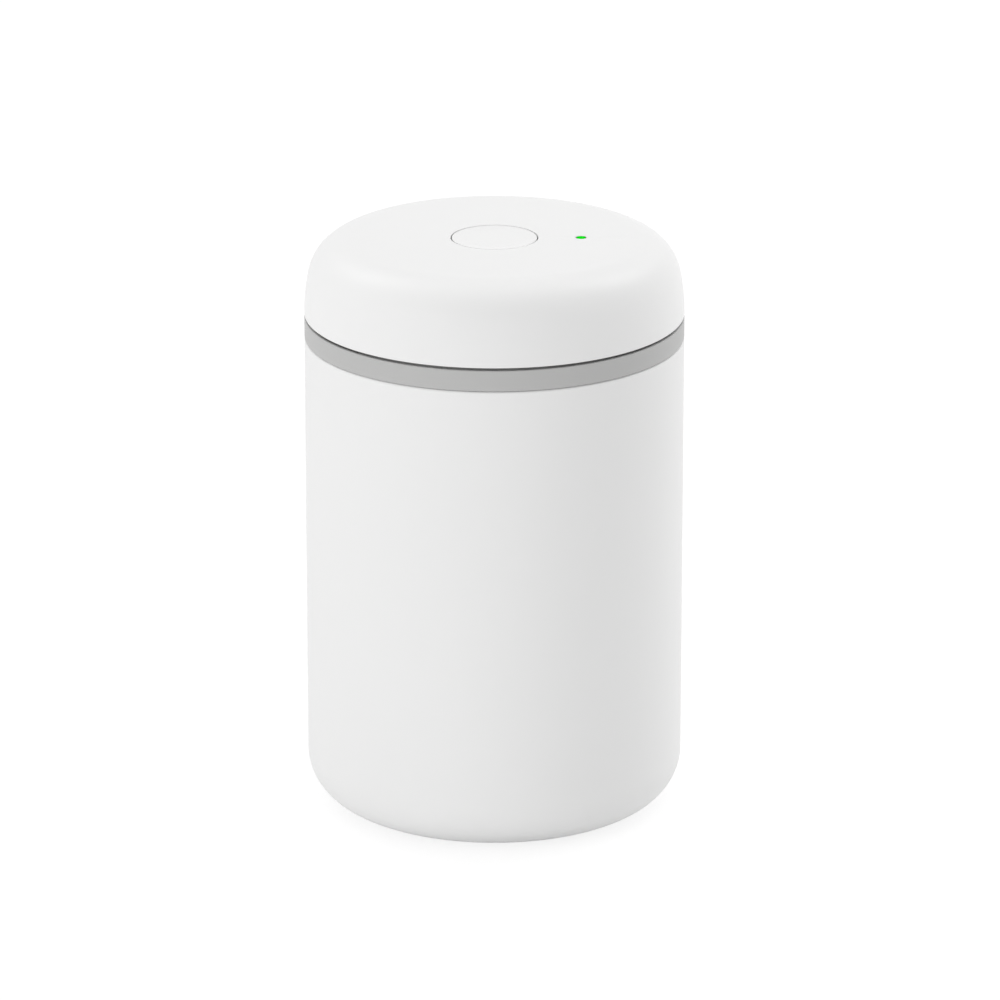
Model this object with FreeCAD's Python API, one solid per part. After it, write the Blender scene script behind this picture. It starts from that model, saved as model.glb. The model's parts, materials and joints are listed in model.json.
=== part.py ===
import FreeCAD, Part
import math
import os

os.makedirs("parts", exist_ok=True)

# Coffee canister with a twist pump in its lid, standing on its base pad at Z = 0.
# All lengths are millimetres and all turns are degrees.

# Cuts run past the faces they open by this much, and points nearer than the second value are one
overrun = 1.0
same_point = 1e-6

# Canister
body_diameter = 122.0
canister_height = 156.8
canister_wall = 1.2
base_round = 16.2
rim_round = 0.8
hem_height = 10.0
hem_thickness = 1.2
base_rim_width = 6.4
pad_recess = 1.0

# Base pad
pad_proud = 0.4
pad_clearance = 0.2
pad_groove_width = 1.4
pad_groove_depth = 0.3
pad_groove_shares = (0.35, 0.6, 0.85)

# Cap
shadow_gap = 0.9
cap_height = 24.9
cap_wall = 2.5
cap_corner_round = 14.0
cap_lip_round = 0.3
cap_hole_round = 0.2
skirt_lean_degrees = 12.0
guide_depth = 8.0
guide_wall = 2.0
boss_radius = 3.5

# Lower housing, with the band that shows
band_height = 6.9
band_round = 0.3
band_lip = 1.2
band_groove_depth = 2.5
seam_height = 0.2
seam_depth = 1.0
plug_depth = 26.8
plug_gap = 1.6
plug_wall = 3.0
plug_round = 0.8
housing_floor = 2.5
collar_height = 6.0
collar_wall = 2.0
collar_clearance = 0.6
socket_wall = 1.5
socket_depth = 3.0
socket_clearance = 0.1

# Rim gasket
gasket_groove_depth = 1.5
gasket_height = 6.0
gasket_drop = 2.2
gasket_clearance = 0.3
gasket_lip_root = 1.6
gasket_lip_tip = 0.7

# Twist and stroke of the pump
twist_degrees = 75.0
piston_stroke = 9.0
follower_count = 3
first_follower_degrees = 20.0

# Pump body
cylinder_bore_radius = 24.0
cylinder_wall = 2.0
pump_floor = 3.5
head_room = 5.5
hub_radius = 11.9
hub_clearance = 0.1
hub_tip = 1.4
valve_tube_bore_radius = 4.0
valve_tube_wall = 2.0
port_count = 6
port_radius = 1.0
flange_thickness = 2.5
flange_reach = 20.0
duct_radius = 1.0
duct_wall = 1.6
channel_radius = 0.8

# Screws
screw_radius = 1.5
screw_clearance = 0.1
screw_head_radius = 2.8
screw_head_height = 2.0
screw_recess_width = 0.8
screw_recess_depth = 1.0
screw_recess_share = 0.65
pump_screw_count = 4
pump_screw_length = 10.0
first_pump_screw_degrees = 45.0
pump_screw_inset = 6.0
cam_screw_count = 3
cam_screw_length = 8.0
cam_screw_bite = 1.0

# Hub fittings
washer_thickness = 1.0
washer_clearance = 0.3
o_ring_section_radius = 0.8
o_ring_side_clearance = 0.1
o_ring_seat_clearance = 0.05
snap_ring_thickness = 1.0
snap_ring_gap = 0.1
snap_ring_depth = 1.0
snap_ring_reach = 1.8
snap_ring_slot = 6.0
snap_ring_seat = 0.05

# Flap valves
flap_thickness = 0.8
flap_clearance = 0.15
flap_lap = 1.8

# Piston
piston_floor_gap = 1.7
piston_floor = 6.5
piston_clearance = 0.3
piston_inner_wall = 2.2
piston_outer_wall = 5.2
pin_cover = 1.75
outlet_port_radius = 1.2

# Piston seals
seal_land = 1.3
seal_height = 2.0
seal_depth = 1.8
seal_clearance = 0.1

# Followers and cam ring
pin_radius = 1.5
sleeve_wall = 1.1
sleeve_clearance = 0.05
sleeve_inset = 0.3
slot_clearance = 0.25
slot_land = 0.7
cam_gap = 7.0
cam_wall = 3.0
cam_head = 1.5
cam_flange_thickness = 2.5
cam_flange_reach = 8.0
cam_boss_radius = 3.2

# Button, stem and release valve
button_radius = 13.65
button_clearance = 0.4
button_travel = 3.0
button_thickness = 2.5
button_skirt = 1.6
button_height = 7.0
button_dish = 0.43
button_dish_share = 0.775
button_edge_round = 0.3
stem_radius = 2.0
stem_socket_wall = 2.0
stem_socket_depth = 6.0
stem_fin_thickness = 1.2
stem_fin_clearance = 0.15
stem_tip_radius = 1.5
poppet_radius = 5.6
poppet_thickness = 1.8
poppet_seal_thickness = 0.7
poppet_seal_clearance = 0.1
button_wire_radius = 0.4
button_spring_turns = 6
coil_steps_per_turn = 4

# Filter
filter_radius = 20.4
filter_wall = 1.6
filter_thickness = 1.0
filter_clearance = 0.2
filter_room = 0.6
grille_thickness = 1.6
grille_hole_radius = 1.4
grille_rings = 4
grille_pitch = 4.4
grille_holes_per_ring = 6

# Vacuum indicator
indicator_setback = 1.7
indicator_radius = 1.68
indicator_recess = 0.05
indicator_clearance = 0.1
indicator_bore_radius = 2.6
indicator_wall = 1.6
indicator_floor = 1.5
indicator_flange_radius = 2.4
indicator_flange_height = 1.5
indicator_stop_gap = 0.1
indicator_spigot_radius = 0.8
indicator_spigot_length = 3.0
indicator_seal_height = 1.5
indicator_seal_clearance = 0.1
indicator_wire_radius = 0.25
indicator_spring_turns = 6

# Heights that follow from the stack of pieces
base_z = pad_proud
rim_z = canister_height
band_top_z = rim_z + band_height
cap_bottom_z = band_top_z + shadow_gap
cap_top_z = cap_bottom_z + cap_height
cap_under_z = cap_top_z - cap_wall
floor_bottom_z = rim_z - plug_depth
floor_top_z = floor_bottom_z + housing_floor
shoulder_z = floor_top_z + washer_thickness
pump_floor_z = shoulder_z + pump_floor
piston_bottom_z = pump_floor_z + flap_thickness + piston_floor_gap
piston_deck_z = piston_bottom_z + piston_floor
seal_bottom_z = piston_bottom_z + seal_land
seal_top_z = seal_bottom_z + seal_height
straight_slot_half = pin_radius + slot_clearance
pin_z = seal_top_z + piston_stroke + slot_land + straight_slot_half
piston_top_z = pin_z + pin_radius + pin_cover
cylinder_top_z = piston_top_z + piston_stroke + head_room
flange_top_z = cylinder_top_z + flange_thickness
snap_ring_top_z = floor_bottom_z - snap_ring_gap
snap_ring_bottom_z = snap_ring_top_z - snap_ring_thickness
hub_bottom_z = snap_ring_bottom_z - hub_tip
poppet_top_z = hub_bottom_z - poppet_seal_thickness
poppet_bottom_z = poppet_top_z - poppet_thickness
filter_top_z = poppet_bottom_z - button_travel - filter_room
grille_top_z = filter_top_z - filter_thickness
grille_bottom_z = grille_top_z - grille_thickness
button_bottom_z = cap_top_z - button_height
button_under_z = cap_top_z - button_thickness

# Radii that follow from the pieces that carry them
body_radius = body_diameter / 2
shell_inner_radius = body_radius - canister_wall
hem_inner_radius = shell_inner_radius - hem_thickness
base_flat_radius = body_radius - base_round
recess_radius = base_flat_radius - base_rim_width
plug_radius = hem_inner_radius - plug_gap
plug_inner_radius = plug_radius - plug_wall
cap_inner_radius = body_radius - cap_wall
collar_radius = cap_inner_radius - collar_clearance
button_hole_radius = button_radius + button_clearance
hub_bore_radius = hub_radius + hub_clearance
valve_tube_radius = valve_tube_bore_radius + valve_tube_wall
cylinder_radius = cylinder_bore_radius + cylinder_wall
o_ring_groove_radius = hub_radius - 2 * o_ring_section_radius - o_ring_seat_clearance
port_circle = (valve_tube_radius + o_ring_groove_radius) / 2
snap_groove_radius = hub_radius - snap_ring_depth
flange_radius = cylinder_radius + flange_reach
pump_screw_circle = flange_radius - pump_screw_inset
indicator_x = cylinder_radius + indicator_setback
cam_inner_radius = cylinder_radius + cam_gap
cam_radius = cam_inner_radius + cam_wall
cam_flange_radius = cam_radius + cam_flange_reach
cam_screw_circle = cam_radius + cam_flange_reach / 2
piston_radius = cylinder_bore_radius - piston_clearance
piston_bore_radius = valve_tube_radius + piston_clearance
pocket_inner_radius = piston_bore_radius + piston_inner_wall
pocket_outer_radius = piston_radius - piston_outer_wall
outlet_circle = (pocket_inner_radius + pocket_outer_radius) / 2
sleeve_radius = pin_radius + sleeve_clearance + sleeve_wall
cam_slot_half = sleeve_radius + slot_clearance
screw_hole_radius = screw_radius + screw_clearance
stem_fin_radius = valve_tube_bore_radius - stem_fin_clearance
filter_holder_radius = filter_radius + filter_wall
follower_angles = [first_follower_degrees + 360 / follower_count * k for k in range(follower_count)]
pump_screw_angles = [first_pump_screw_degrees + 360 / pump_screw_count * k for k in range(pump_screw_count)]
cam_screw_angles = [360 / cam_screw_count * k for k in range(cam_screw_count)]

up = FreeCAD.Vector(0, 0, 1)
middle = FreeCAD.Vector(0, 0, 0)


def at(x, z):
    """Point in the XZ plane."""
    return FreeCAD.Vector(x, 0, z)


def rounded_corner(before, corner, after, rounding):
    """Start, middle and end of the arc that rounds a corner between two straight runs."""
    back = (before - corner).normalize()
    ahead = (after - corner).normalize()
    half_angle = back.getAngle(ahead) / 2
    setback = rounding / math.tan(half_angle)
    depth = rounding / math.sin(half_angle) - rounding
    return corner + back * setback, corner + (back + ahead).normalize() * depth, corner + ahead * setback


def outline(corners):
    """Closed wire in the XZ plane through (x, z) or (x, z, rounding) corners."""
    points = [at(corner[0], corner[1]) for corner in corners]
    arcs = []
    for index, corner in enumerate(corners):
        place = points[index]
        rounding = corner[2] if len(corner) == 3 else 0
        if rounding:
            following = points[(index + 1) % len(points)]
            arcs.append(rounded_corner(points[index - 1], place, following, rounding))
        else:
            arcs.append((place, place, place))
    edges = []
    for index, (start, bulge, end) in enumerate(arcs):
        previous_end = arcs[index - 1][2]
        if not previous_end.isEqual(start, same_point):
            edges.append(Part.LineSegment(previous_end, start).toShape())
        if start != end:
            edges.append(Part.Arc(start, bulge, end).toShape())
    return Part.Wire(edges)


def turned(corners):
    """Solid of revolution about Z from an outline in the XZ plane."""
    return Part.Face(outline(corners)).revolve(middle, up, 360)


def ring(inner, outer, bottom, top):
    """Plain ring about Z."""
    return turned([(inner, bottom), (outer, bottom), (outer, top), (inner, top)])


def post(radius, x, bottom, top):
    """Upright round post standing at x on the X axis."""
    return Part.makeCylinder(radius, top - bottom, at(x, bottom), up)


def spoke(radius, inner, outer, z):
    """Round rod lying along X from one radius to another."""
    return Part.makeCylinder(radius, outer - inner, at(inner, z), FreeCAD.Vector(1, 0, 0))


def around(shape, angles):
    """Copies of a shape turned about Z."""
    copies = []
    for angle in angles:
        copy = shape.copy()
        copy.rotate(middle, up, angle)
        copies.append(copy)
    return copies


def even_angles(count):
    """Directions of a full even circle."""
    return [360 / count * k for k in range(count)]


def tangent_arc(start, direction, end):
    """Arc from start, leaving along direction, to end."""
    chord = end - start
    along = FreeCAD.Vector(chord).normalize()
    lean = direction.getAngle(chord)
    aside = (direction - along * direction.dot(along)).normalize()
    bulge = (start + end) / 2 + aside * (chord.Length / 2 * math.tan(lean / 2))
    return Part.Arc(start, bulge, end).toShape()


def biarc(start, start_way, end, end_way):
    """Two arcs with one common tangent, from a point and direction to another point and direction."""
    chord = end - start
    bend = 2 * (1 - start_way.dot(end_way))
    reach = chord.dot(start_way + end_way)
    arm = (math.sqrt(reach ** 2 + bend * chord.dot(chord)) - reach) / bend
    first_tip = start + start_way * arm
    last_tip = end - end_way * arm
    joint = (first_tip + last_tip) / 2
    joint_way = (last_tip - first_tip).normalize()
    return [tangent_arc(start, start_way, joint), tangent_arc(joint, joint_way, end)]


def least_gap(places, wire_radius):
    """Smallest gap between the turns of a coil, from points that are more than half a turn apart."""
    apart = coil_steps_per_turn // 2 + 1
    spans = []
    for index, (place, way) in enumerate(places):
        spans += [place.distanceToPoint(other) for other, other_way in places[index + apart:]]
    return min(spans) - 2 * wire_radius


def coil(mean_radius, wire_radius, turns, bottom, top, x):
    """Spring wound about an upright line at x, its wire kept between two heights."""
    rise = top - bottom - 2 * wire_radius
    climb = rise / (2 * math.pi * turns)
    steps = turns * coil_steps_per_turn
    places = []
    for step in range(steps + 1):
        angle = 2 * math.pi * step / coil_steps_per_turn
        across = mean_radius * math.cos(angle)
        aside = mean_radius * math.sin(angle)
        place = FreeCAD.Vector(x + across, aside, bottom + wire_radius + climb * angle)
        places.append((place, FreeCAD.Vector(-aside, across, climb).normalize()))
    edges = []
    for (start, start_way), (end, end_way) in zip(places, places[1:]):
        edges += biarc(start, start_way, end, end_way)
    print("least gap between turns", round(least_gap(places, wire_radius), 2))
    section = Part.Wire(Part.makeCircle(wire_radius, *places[0]))
    return Part.Wire(edges).makePipeShell([section], True, False)


def cap_shoulder(inset):
    """Leaning skirt corner and top corner of the cap, moved in by a wall, each with its rounding."""
    lean = math.radians(skirt_lean_degrees)
    corner_setback = cap_corner_round * math.tan((math.pi / 2 - lean) / 2)
    rise = cap_height - cap_lip_round
    skirt_setback = (rise - corner_setback * math.cos(lean)) / (1 + math.cos(lean))
    skirt_round = skirt_setback / math.tan(lean / 2)
    skirt_z = cap_bottom_z + cap_lip_round + skirt_setback
    corner_radius = body_radius - (cap_top_z - skirt_z) * math.tan(lean)
    skirt = (body_radius - inset, skirt_z - inset * math.tan(lean / 2), skirt_round - inset)
    corner_in = inset * math.tan((math.pi / 2 - lean) / 2)
    corner = (corner_radius - corner_in, cap_top_z - inset, cap_corner_round - inset)
    return skirt, corner


# Canister body


def canister_shell():
    """Drawn canister with a rounded foot, a recess for the pad and a hem folded in at the rim."""
    inner_floor_z = base_z + canister_wall
    raised_radius = recess_radius + canister_wall
    return turned([
        (0, base_z + pad_recess),
        (recess_radius, base_z + pad_recess),
        (recess_radius, base_z),
        (body_radius, base_z, base_round),
        (body_radius, rim_z, rim_round),
        (hem_inner_radius, rim_z, rim_round),
        (hem_inner_radius, rim_z - hem_height),
        (shell_inner_radius, rim_z - hem_height),
        (shell_inner_radius, inner_floor_z, base_round - canister_wall),
        (raised_radius, inner_floor_z),
        (raised_radius, inner_floor_z + pad_recess),
        (0, inner_floor_z + pad_recess),
    ])


def base_pad():
    """Soft round pad with ring grooves on its underside."""
    pad_radius = recess_radius - pad_clearance
    pad = ring(0, pad_radius, 0, base_z + pad_recess)
    for share in pad_groove_shares:
        groove_radius = pad_radius * share
        groove = ring(groove_radius, groove_radius + pad_groove_width, -overrun, pad_groove_depth)
        pad = pad.cut(groove)
    return pad


# Lid base, which stays still while the cap turns


def lower_housing():
    """Plug, floor, band and collar in one moulding, with a seam over the rim and a groove behind the lip."""
    seam_radius = body_radius - seam_depth
    lip_radius = body_radius - band_lip
    groove_radius = plug_radius - gasket_groove_depth
    groove_top_z = rim_z - gasket_drop
    socket_inner = filter_holder_radius + socket_clearance
    socket_outer = socket_inner + socket_wall
    body = turned([
        (hub_bore_radius, floor_bottom_z),
        (socket_inner, floor_bottom_z),
        (socket_inner, floor_bottom_z - socket_depth),
        (socket_outer, floor_bottom_z - socket_depth),
        (socket_outer, floor_bottom_z),
        (plug_radius, floor_bottom_z, plug_round),
        (plug_radius, groove_top_z - gasket_height),
        (groove_radius, groove_top_z - gasket_height),
        (groove_radius, groove_top_z),
        (plug_radius, groove_top_z),
        (plug_radius, rim_z),
        (seam_radius, rim_z),
        (seam_radius, rim_z + seam_height),
        (body_radius, rim_z + seam_height, band_round),
        (body_radius, band_top_z, band_round),
        (lip_radius, band_top_z, band_round),
        (lip_radius, band_top_z - band_groove_depth),
        (collar_radius, band_top_z - band_groove_depth),
        (collar_radius, band_top_z + collar_height),
        (collar_radius - collar_wall, band_top_z + collar_height),
        (collar_radius - collar_wall, band_top_z),
        (plug_inner_radius, band_top_z),
        (plug_inner_radius, floor_top_z),
        (hub_bore_radius, floor_top_z),
    ])
    hole = post(screw_hole_radius, cam_screw_circle, floor_bottom_z - overrun, floor_top_z + overrun)
    for cut in around(hole, cam_screw_angles):
        body = body.cut(cut)
    return body


def rim_gasket():
    """Seal in the plug's groove, with two tapered lips towards the hem."""
    top_z = rim_z - gasket_drop
    bottom_z = top_z - gasket_height
    lip_radius = hem_inner_radius - gasket_clearance
    lip_taper = (gasket_lip_root - gasket_lip_tip) / 2
    groove_radius = plug_radius - gasket_groove_depth
    return turned([
        (groove_radius, bottom_z),
        (plug_radius, bottom_z),
        (lip_radius, bottom_z + lip_taper),
        (lip_radius, bottom_z + lip_taper + gasket_lip_tip),
        (plug_radius, bottom_z + gasket_lip_root),
        (plug_radius, top_z - gasket_lip_root),
        (lip_radius, top_z - lip_taper - gasket_lip_tip),
        (lip_radius, top_z - lip_taper),
        (plug_radius, top_z),
        (groove_radius, top_z),
    ])


def cam_slot():
    """One follower slot: a helical band through the ring's wall, longer than the turn by a follower."""
    lead = piston_stroke * 360 / twist_degrees
    steepest = math.atan2(lead, 2 * math.pi * cam_inner_radius)
    half_height = cam_slot_half / math.cos(steepest)
    end_degrees = math.degrees(cam_slot_half / cam_inner_radius)
    rise = lead * (twist_degrees + 2 * end_degrees) / 360
    inside = cam_inner_radius - overrun
    outside = cam_radius + overrun
    section = Part.makePolygon([
        at(inside, -half_height),
        at(outside, -half_height),
        at(outside, half_height),
        at(inside, half_height),
        at(inside, -half_height),
    ])
    path = Part.makeHelix(lead, rise, (inside + outside) / 2)
    band = Part.Wire(path.Edges).makePipeShell([section], True, True)
    band.rotate(middle, up, -end_degrees)
    band.translate(at(0, pin_z - lead * end_degrees / 360))
    return band


def cam_ring():
    """Fixed ring on the housing floor, with a screw flange and the followers' helical slots."""
    top_z = pin_z + piston_stroke + 2 * cam_slot_half + cam_head
    body = turned([
        (cam_inner_radius, floor_top_z),
        (cam_flange_radius, floor_top_z),
        (cam_flange_radius, floor_top_z + cam_flange_thickness),
        (cam_radius, floor_top_z + cam_flange_thickness),
        (cam_radius, top_z),
        (cam_inner_radius, top_z),
    ])
    boss_top_z = floor_bottom_z + cam_screw_length + cam_screw_bite
    for boss in around(post(cam_boss_radius, cam_screw_circle, floor_top_z, boss_top_z), cam_screw_angles):
        body = body.fuse(boss)
    hole = post(screw_radius, cam_screw_circle, floor_top_z - overrun, floor_bottom_z + cam_screw_length)
    for cut in around(hole, cam_screw_angles):
        body = body.cut(cut)
    for cut in around(cam_slot(), follower_angles):
        body = body.cut(cut)
    return body


def screw(length):
    """Pan head screw standing on its head's top face, with a cross recess below."""
    head = turned([
        (0, -screw_head_height),
        (screw_head_radius, -screw_head_height, screw_head_height / 2),
        (screw_head_radius, 0),
        (0, 0),
    ])
    body = head.fuse(ring(0, screw_radius, 0, length))
    arm = 2 * screw_head_radius * screw_recess_share
    for size_x, size_y in ((arm, screw_recess_width), (screw_recess_width, arm)):
        corner = FreeCAD.Vector(-size_x / 2, -size_y / 2, -screw_head_height - overrun)
        body = body.cut(Part.makeBox(size_x, size_y, screw_recess_depth + overrun, corner))
    return body.removeSplitter()


def screw_group(length, circle, head_z, angles):
    """Equal screws on a circle, their heads under the face at head_z."""
    one = screw(length)
    one.translate(at(circle, head_z))
    return Part.makeCompound(around(one, angles))


def thrust_washer():
    """Flat washer between the housing floor and the pump body's shoulder."""
    return ring(hub_bore_radius + washer_clearance, cylinder_bore_radius, floor_top_z, shoulder_z)


def filter_holder():
    """Cup with a grille, pushed up into the housing's socket."""
    cup = turned([
        (0, grille_bottom_z),
        (filter_holder_radius, grille_bottom_z, filter_wall / 2),
        (filter_holder_radius, floor_bottom_z),
        (filter_radius, floor_bottom_z),
        (filter_radius, grille_top_z),
        (0, grille_top_z),
    ])
    low = grille_bottom_z - overrun
    high = grille_top_z + overrun
    holes = [post(grille_hole_radius, 0, low, high)]
    for row in range(1, grille_rings):
        hole = post(grille_hole_radius, row * grille_pitch, low, high)
        holes += around(hole, even_angles(row * grille_holes_per_ring))
    return cup.cut(Part.makeCompound(holes))


def filter_disc():
    """Fine filter lying on the grille."""
    return ring(0, filter_radius - filter_clearance, grille_top_z, filter_top_z)


# Cap, with the pump body that turns with it


def cap_shell():
    """Domed cap with a guide for the button and bosses for the pump body's screws."""
    skirt, corner = cap_shoulder(0)
    skirt_inside, corner_inside = cap_shoulder(cap_wall)
    guide_radius = button_hole_radius + guide_wall
    guide_bottom_z = cap_under_z - guide_depth
    body = turned([
        (button_hole_radius, guide_bottom_z),
        (button_hole_radius, cap_top_z, cap_hole_round),
        corner,
        skirt,
        (body_radius, cap_bottom_z, cap_lip_round),
        (cap_inner_radius, cap_bottom_z),
        skirt_inside,
        corner_inside,
        (guide_radius, cap_under_z),
        (guide_radius, guide_bottom_z),
    ])
    boss = post(boss_radius, pump_screw_circle, flange_top_z, cap_under_z + cap_wall / 2)
    for piece in around(boss, pump_screw_angles):
        body = body.fuse(piece)
    hole = post(screw_radius, pump_screw_circle, flange_top_z - overrun, cylinder_top_z + pump_screw_length)
    for cut in around(hole, pump_screw_angles):
        body = body.cut(cut)
    eye_radius = indicator_radius + indicator_clearance
    eye = post(eye_radius, indicator_x, cap_under_z - overrun, cap_top_z + overrun)
    return body.cut(eye).removeSplitter()


def straight_slot():
    """Upright slot through the cylinder wall for one follower pin, round at both ends."""
    inside = cylinder_bore_radius - overrun
    outside = cylinder_radius + overrun
    low = spoke(straight_slot_half, inside, outside, pin_z)
    high = spoke(straight_slot_half, inside, outside, pin_z + piston_stroke)
    corner = FreeCAD.Vector(inside, -straight_slot_half, pin_z)
    run = Part.makeBox(outside - inside, 2 * straight_slot_half, piston_stroke, corner)
    return low.fuse([high, run])


def pump_body():
    """Cylinder, hub, valve tube, vacuum duct, indicator housing and screw flange in one moulding."""
    o_ring_z = floor_bottom_z + housing_floor / 2
    o_ring_half = o_ring_section_radius + o_ring_side_clearance
    body = turned([
        (valve_tube_bore_radius, hub_bottom_z),
        (hub_radius, hub_bottom_z),
        (hub_radius, snap_ring_bottom_z),
        (snap_groove_radius, snap_ring_bottom_z),
        (snap_groove_radius, snap_ring_top_z),
        (hub_radius, snap_ring_top_z),
        (hub_radius, o_ring_z - o_ring_half),
        (o_ring_groove_radius, o_ring_z - o_ring_half),
        (o_ring_groove_radius, o_ring_z + o_ring_half),
        (hub_radius, o_ring_z + o_ring_half),
        (hub_radius, shoulder_z),
        (cylinder_radius, shoulder_z),
        (cylinder_radius, cylinder_top_z),
        (flange_radius, cylinder_top_z),
        (flange_radius, flange_top_z),
        (cylinder_bore_radius, flange_top_z),
        (cylinder_bore_radius, pump_floor_z),
        (valve_tube_radius, pump_floor_z),
        (valve_tube_radius, cylinder_top_z),
        (valve_tube_bore_radius, cylinder_top_z),
    ])
    duct_boss = post(duct_radius + duct_wall, indicator_x, shoulder_z, cylinder_top_z + flange_thickness / 2)
    housing = post(indicator_bore_radius + indicator_wall, indicator_x, cylinder_top_z, cap_under_z)
    body = body.fuse([duct_boss, housing])
    channel_z = (shoulder_z + pump_floor_z) / 2
    cuts = [
        post(indicator_bore_radius, indicator_x, cylinder_top_z + indicator_floor, cap_under_z + overrun),
        post(duct_radius, indicator_x, channel_z, cylinder_top_z + indicator_floor + overrun),
        spoke(channel_radius, port_circle, indicator_x, channel_z),
    ]
    port = post(port_radius, port_circle, hub_bottom_z - overrun, pump_floor_z + overrun)
    cuts += around(port, even_angles(port_count))
    screw_hole = post(screw_hole_radius, pump_screw_circle, cylinder_top_z - overrun, flange_top_z + overrun)
    cuts += around(screw_hole, pump_screw_angles)
    cuts += around(straight_slot(), follower_angles)
    for cut in cuts:
        body = body.cut(cut)
    return body.removeSplitter()


def hub_o_ring():
    """Round section ring in the hub's groove."""
    centre_radius = o_ring_groove_radius + o_ring_seat_clearance + o_ring_section_radius
    return Part.makeTorus(centre_radius, o_ring_section_radius, at(0, floor_bottom_z + housing_floor / 2), up)


def hub_snap_ring():
    """Open ring in the hub's lower groove."""
    outer = hub_radius + snap_ring_reach
    body = ring(snap_groove_radius + snap_ring_seat, outer, snap_ring_bottom_z, snap_ring_top_z)
    corner = FreeCAD.Vector(-outer - overrun, -snap_ring_slot / 2, snap_ring_bottom_z - overrun)
    slot = Part.makeBox(outer + overrun, snap_ring_slot, snap_ring_thickness + 2 * overrun, corner)
    return body.cut(slot)


def inlet_flap():
    """Soft ring over the ports of the cylinder floor."""
    outer = port_circle + port_radius + flap_lap
    return ring(valve_tube_radius + flap_clearance, outer, pump_floor_z, pump_floor_z + flap_thickness)


# Piston and what moves with it


def piston():
    """Ring shaped piston with seal grooves, outlet ports and sockets for the follower pins."""
    body = turned([
        (piston_bore_radius, piston_bottom_z),
        (piston_radius, piston_bottom_z),
        (piston_radius, seal_bottom_z),
        (piston_radius - seal_depth, seal_bottom_z),
        (piston_radius - seal_depth, seal_top_z),
        (piston_radius, seal_top_z),
        (piston_radius, piston_top_z),
        (pocket_outer_radius, piston_top_z),
        (pocket_outer_radius, piston_deck_z),
        (pocket_inner_radius, piston_deck_z),
        (pocket_inner_radius, piston_top_z),
        (piston_bore_radius, piston_top_z),
        (piston_bore_radius, seal_top_z),
        (piston_bore_radius + seal_depth, seal_top_z),
        (piston_bore_radius + seal_depth, seal_bottom_z),
        (piston_bore_radius, seal_bottom_z),
    ])
    port = post(outlet_port_radius, outlet_circle, piston_bottom_z - overrun, piston_deck_z + overrun)
    for cut in around(port, even_angles(port_count)):
        body = body.cut(cut)
    socket = spoke(pin_radius, pocket_outer_radius - overrun, piston_radius + overrun, pin_z)
    for cut in around(socket, follower_angles):
        body = body.cut(cut)
    return body


def piston_outer_seal():
    """Ring seal that wipes the cylinder bore."""
    inner = piston_radius - seal_depth + seal_clearance
    return ring(inner, cylinder_bore_radius - seal_clearance, seal_bottom_z, seal_top_z)


def piston_inner_seal():
    """Ring seal that wipes the valve tube."""
    outer = piston_bore_radius + seal_depth - seal_clearance
    return ring(valve_tube_radius + seal_clearance, outer, seal_bottom_z, seal_top_z)


def follower_pins():
    """Pins pressed into the piston that reach into the cam slots."""
    pin = spoke(pin_radius, pocket_outer_radius, cam_radius - sleeve_inset, pin_z)
    return Part.makeCompound(around(pin, follower_angles))


def follower_sleeves():
    """Hard sleeves on the pins, inside the cam slots."""
    inner = cam_inner_radius + sleeve_inset
    outer = cam_radius - sleeve_inset
    solid = spoke(sleeve_radius, inner, outer, pin_z)
    bore = spoke(pin_radius + sleeve_clearance, inner - overrun, outer + overrun, pin_z)
    return Part.makeCompound(around(solid.cut(bore), follower_angles))


def outlet_flap():
    """Soft ring over the piston's ports."""
    outer = outlet_circle + outlet_port_radius + flap_lap
    return ring(pocket_inner_radius + flap_clearance, outer, piston_deck_z, piston_deck_z + flap_thickness)


# Button and release valve


def button_cap():
    """Button with a raised rim round its flat middle, a skirt and a socket for the stem."""
    socket_radius = stem_radius + stem_socket_wall
    socket_bottom_z = button_under_z - stem_socket_depth
    dish_x = button_radius * button_dish_share
    dish_z = cap_top_z - button_dish
    dish_run = button_radius - dish_x
    dish_slope = math.atan2(button_dish, dish_run)
    dish_round = (dish_run - 2 * button_edge_round) / math.tan(dish_slope / 2)
    return turned([
        (stem_radius, socket_bottom_z),
        (socket_radius, socket_bottom_z),
        (socket_radius, button_under_z),
        (button_radius - button_skirt, button_under_z),
        (button_radius - button_skirt, button_bottom_z),
        (button_radius, button_bottom_z),
        (button_radius, cap_top_z, button_edge_round),
        (dish_x, dish_z, dish_round),
        (0, dish_z),
        (0, button_under_z),
        (stem_radius, button_under_z),
    ])


def button_stem():
    """Stem with four fins that guide it in the valve tube and let air pass between them."""
    body = ring(0, stem_radius, cylinder_top_z, button_under_z)
    fin_bottom_z = hub_bottom_z + stem_fin_thickness
    core = ring(0, stem_tip_radius, poppet_bottom_z, cylinder_top_z)
    tube = ring(0, stem_fin_radius, fin_bottom_z, cylinder_top_z)
    fin_half = stem_fin_thickness / 2
    fins = []
    for half_x, half_y in ((stem_fin_radius, fin_half), (fin_half, stem_fin_radius)):
        corner = FreeCAD.Vector(-half_x, -half_y, fin_bottom_z)
        fins.append(Part.makeBox(2 * half_x, 2 * half_y, cylinder_top_z - fin_bottom_z, corner))
    cross = fins[0].fuse(fins[1]).common(tube)
    return body.fuse([core, cross]).removeSplitter()


def button_spring():
    """Spring from the valve tube's top to the button's underside."""
    mean_radius = (valve_tube_bore_radius + valve_tube_radius) / 2
    return coil(mean_radius, button_wire_radius, button_spring_turns, cylinder_top_z, button_under_z, 0)


def release_valve():
    """Poppet on the stem's tip that closes the valve tube from below."""
    return ring(stem_tip_radius, poppet_radius, poppet_bottom_z, poppet_top_z)


def release_valve_seal():
    """Soft washer between the poppet and the hub."""
    return ring(stem_tip_radius + poppet_seal_clearance, poppet_radius, poppet_top_z, hub_bottom_z)


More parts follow.
